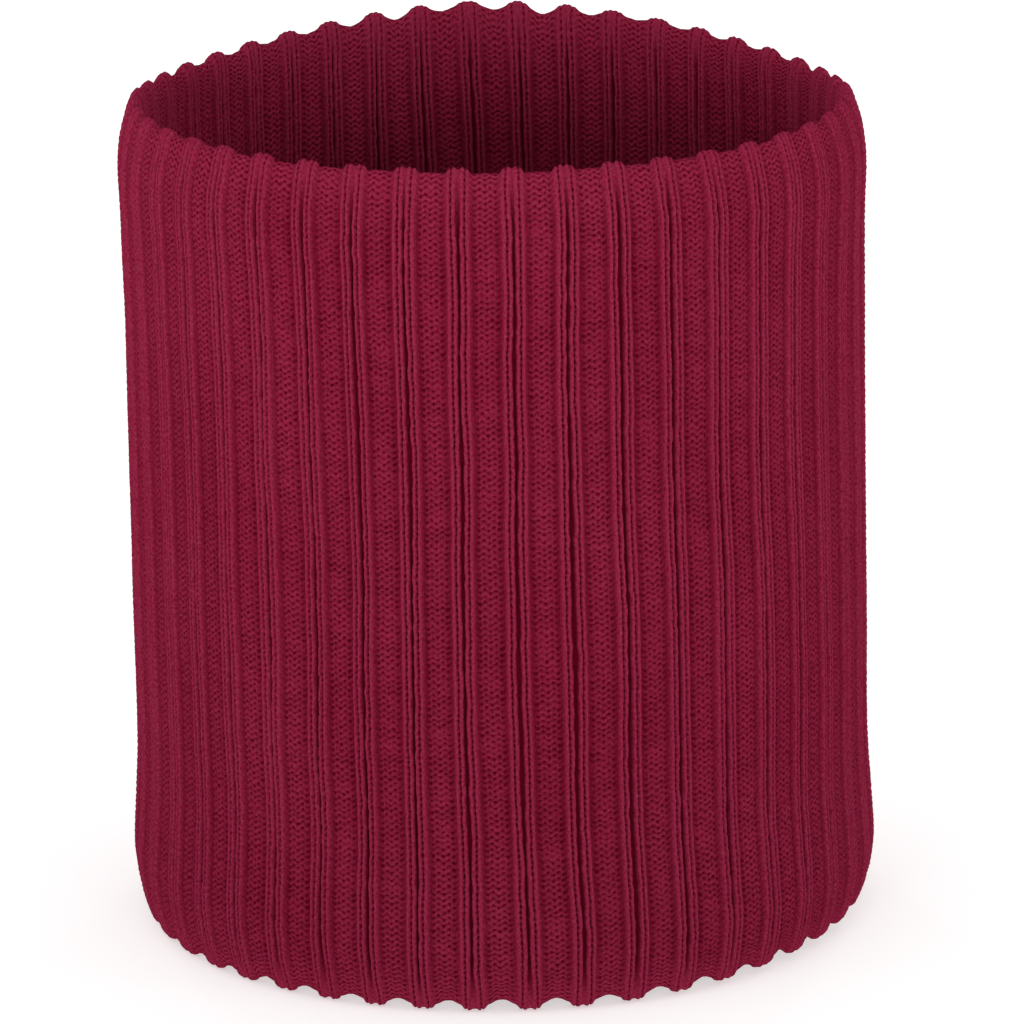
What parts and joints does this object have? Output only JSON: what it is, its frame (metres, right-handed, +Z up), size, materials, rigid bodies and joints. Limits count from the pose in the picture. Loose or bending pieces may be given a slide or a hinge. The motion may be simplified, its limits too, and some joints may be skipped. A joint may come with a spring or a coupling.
{
  "type": "neck gaiter",
  "caption": "Double-walled knitted neck gaiter in wide rib: an open tube folded at rim and hem, linked inside by a ring seam, with a blank care label in the back.",
  "frame": {"origin": "centre of the bottom edge that the gaiter stands on", "axes": "+Z up the axis of the tube, -Y to the front, +Y to the back with the seam and the care label, +X to the right seen from the front"},
  "size_m": [0.1798, 0.1798, 0.2],
  "materials": {
    "rib_knit": "matte crimson wool-like rib knit",
    "seam_yarn": "matte crimson linking yarn",
    "label_tape": "smooth off-white woven tape, blank",
    "label_thread": "matte sewing thread"
  },
  "bodies": {
    "hem": {"hem_fold": "rib_knit", "outer_layer": "rib_knit", "inner_layer": "rib_knit", "ring_seam": "seam_yarn", "outer_back_seam": "seam_yarn", "inner_back_seam": "seam_yarn", "label_stitches": "label_thread"},
    "rim": {"rim_fold": "rib_knit"},
    "label": {"care_label": "label_tape"}
  },
  "joints": [
    {"name": "rim_slide", "type": "slide", "parent": "hem", "child": "rim", "axis": [0, 0, 1], "range_m": [-0.045, 0.02], "deforming": ["outer_layer", "inner_layer", "outer_back_seam", "inner_back_seam"]},
    {"name": "label_hinge", "type": "hinge", "parent": "hem", "child": "label", "pos_m": [0, 0.07949, 0.0427], "axis": [-1, 0, 0], "range_deg": [0, 150]}
  ]
}
